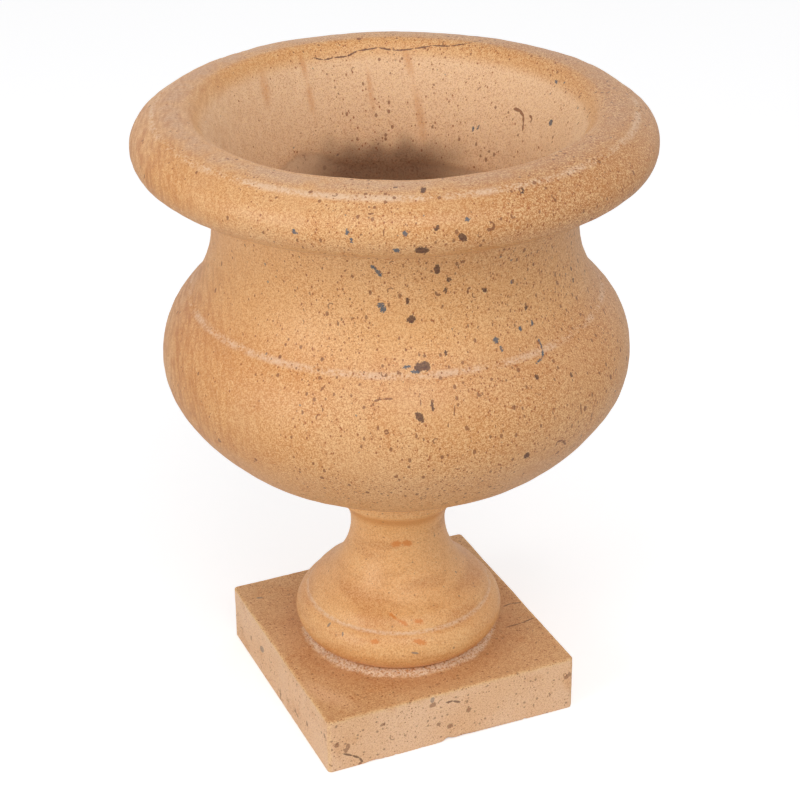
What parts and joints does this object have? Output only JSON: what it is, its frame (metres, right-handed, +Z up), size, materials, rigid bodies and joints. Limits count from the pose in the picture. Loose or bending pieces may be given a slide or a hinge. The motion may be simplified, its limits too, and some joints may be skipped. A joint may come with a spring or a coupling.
{
  "type": "stone garden urn",
  "caption": "Turned stone garden urn: wide bowl with a rolled lip and flared mouth, on a waisted pedestal and a square plinth.",
  "frame": {"origin": "centre of the plinth's underside, on the turning axis", "axes": "+Z up along the turning axis, X and Y along the plinth's sides"},
  "size_m": [0.3626, 0.3624, 0.4673],
  "materials": {
    "plinth_stone": "honed beige limestone",
    "pedestal_stone": "honed honey limestone",
    "bowl_stone": "honed fossil limestone",
    "dowel_steel": "plain stainless",
    "adhesive": "matte stone adhesive"
  },
  "bodies": {
    "root": {"plinth": "plinth_stone", "pedestal": "pedestal_stone", "bowl": "bowl_stone", "plinth_dowel": "dowel_steel", "bowl_dowel": "dowel_steel", "plinth_dowel_grout": "adhesive", "bowl_dowel_grout": "adhesive", "plinth_bed": "adhesive", "bowl_bed": "adhesive"}
  },
  "joints": []
}
